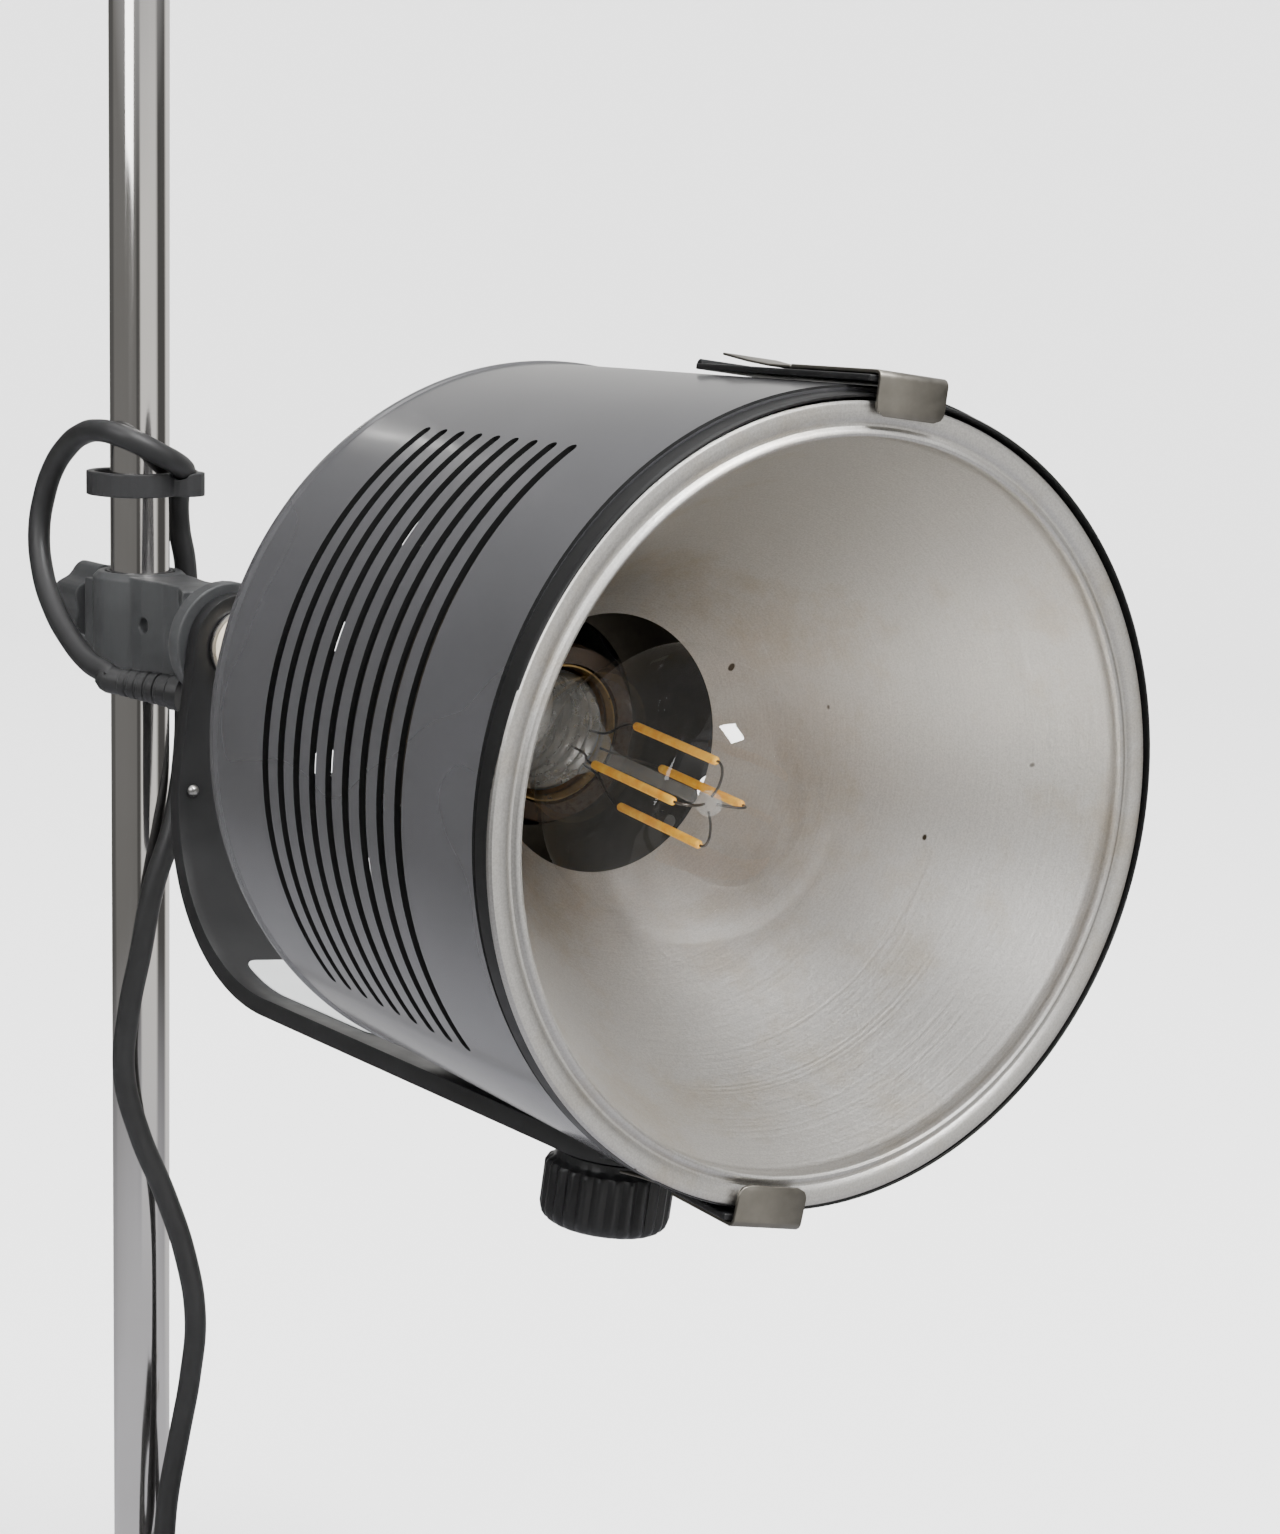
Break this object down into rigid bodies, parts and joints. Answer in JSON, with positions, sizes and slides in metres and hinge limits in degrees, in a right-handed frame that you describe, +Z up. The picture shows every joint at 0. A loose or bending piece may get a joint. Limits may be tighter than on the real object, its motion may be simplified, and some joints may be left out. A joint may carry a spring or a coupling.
{
  "type": "adjustable spot lamp head on pole",
  "caption": "Spot lamp with a vented black cylindrical shade, spun reflector and clear bulb, carried by a flat J-shaped arm on a clamp that slides and turns on a chrome pole.",
  "frame": {"origin": "centre of the lower end of the pole section", "axes": "+Z up along the pole; the yoke arm leaves the clamp towards -Y and the lamp shines towards -Y, turned about seven degrees to -X; +X is to the lamp's left"},
  "size_m": [0.1623, 0.3041, 0.458],
  "materials": {
    "pole_chrome": "polished",
    "plug_plastic": "matt moulded",
    "clamp_plastic": "satin moulded",
    "knob_plastic": "satin moulded",
    "cream_plastic": "satin moulded",
    "small_steel": "plated",
    "clip_steel": "dull, slightly tarnished",
    "lead_rubber": "matt",
    "arm_paint": "satin black",
    "shade_paint": "gloss black",
    "label_film": "blank film",
    "spun_aluminium": "satin spun",
    "holder_brass": "dull",
    "bulb_glass": "clear",
    "filament_coating": "amber coating"
  },
  "bodies": {
    "pole": {"pole_tube": "pole_chrome", "pole_foot_plug": "plug_plastic", "pole_top_plug": "plug_plastic"},
    "liner": {"clamp_liner": "plug_plastic"},
    "clamp": {"clamp_body": "clamp_plastic", "pivot_bolt": "small_steel", "pivot_cap": "cream_plastic", "cable_ring": "clamp_plastic", "lead_gland": "lead_rubber", "lead_cord": "lead_rubber", "lead_coil": "lead_rubber", "coil_tie": "plug_plastic", "plug_body": "plug_plastic", "plug_pin_1": "small_steel", "plug_pin_2": "small_steel"},
    "clamp_screw": {"clamp_knob": "clamp_plastic"},
    "yoke": {"yoke_arm": "arm_paint", "pivot_washer": "small_steel", "arm_label": "label_film", "arm_rivet": "small_steel", "arm_spacer": "plug_plastic"},
    "yoke_nut": {"yoke_knob": "knob_plastic"},
    "head": {"yoke_stud": "small_steel", "knob_nut": "small_steel", "shade": "shade_paint", "rear_cover": "shade_paint", "rear_gland": "lead_rubber", "rear_screw_1": "small_steel", "rear_screw_2": "small_steel", "rear_screw_3": "small_steel", "holder_bracket": "small_steel", "front_ring": "knob_plastic", "reflector": "spun_aluminium", "lamp_holder": "plug_plastic", "holder_shell": "holder_brass", "holder_contact": "holder_brass"},
    "bulb": {"bulb_glass": "bulb_glass", "bulb_cap": "small_steel", "bulb_contact": "holder_brass", "bulb_stem": "bulb_glass", "filament_1": "filament_coating", "filament_2": "filament_coating", "filament_3": "filament_coating", "filament_4": "filament_coating"},
    "clip_top": {"clip_top_bar": "knob_plastic", "clip_top_hook": "clip_steel", "clip_top_tab": "clip_steel"},
    "clip_bottom": {"clip_bottom_bar": "knob_plastic", "clip_bottom_hook": "clip_steel", "clip_bottom_tab": "clip_steel"}
  },
  "joints": [
    {"name": "clamp_height", "type": "slide", "parent": "pole", "child": "liner", "axis": [0, 0, 1], "range_m": [0, 0.1]},
    {"name": "clamp_swing", "type": "hinge", "parent": "liner", "child": "clamp", "pos_m": [0, 0, 0.29], "axis": [0, 0, 1], "range_deg": [-170, 170]},
    {"name": "clamp_screw_turn", "type": "hinge", "parent": "clamp", "child": "clamp_screw", "pos_m": [0, 0.02, 0.2915], "axis": [0, 1, 0], "continuous": true},
    {"name": "yoke_roll", "type": "hinge", "parent": "clamp", "child": "yoke", "pos_m": [0, -0.047, 0.29], "axis": [0, 1, 0], "range_deg": [-170, 170]},
    {"name": "head_pan", "type": "hinge", "parent": "yoke", "child": "head", "pos_m": [0, -0.209, 0.29], "axis": [0.1392, 0, 0.9903], "range_deg": [-95, 95]},
    {"name": "yoke_nut_turn", "type": "hinge", "parent": "yoke", "child": "yoke_nut", "pos_m": [-0.01225, -0.209, 0.20286], "axis": [0.1392, 0, 0.9903], "continuous": true},
    {"name": "bulb_turn", "type": "hinge", "parent": "head", "child": "bulb", "pos_m": [0.00646, -0.16056, 0.28719], "axis": [-0.092, -0.9924, -0.082], "continuous": true},
    {"name": "clip_top_flex", "type": "hinge", "parent": "head", "child": "clip_top", "pos_m": [0.00788, -0.21521, 0.36602], "axis": [-0.9862, 0.1218, 0.1122], "range_deg": [0, 14], "stiffness_Nm_per_rad": 0.3, "springref_deg": -5.73},
    {"name": "clip_bottom_flex", "type": "hinge", "parent": "head", "child": "clip_bottom", "pos_m": [-0.01905, -0.22609, 0.2158], "axis": [0.9678, -0.1214, -0.2205], "range_deg": [0, 14], "stiffness_Nm_per_rad": 0.3, "springref_deg": -5.73}
  ]
}
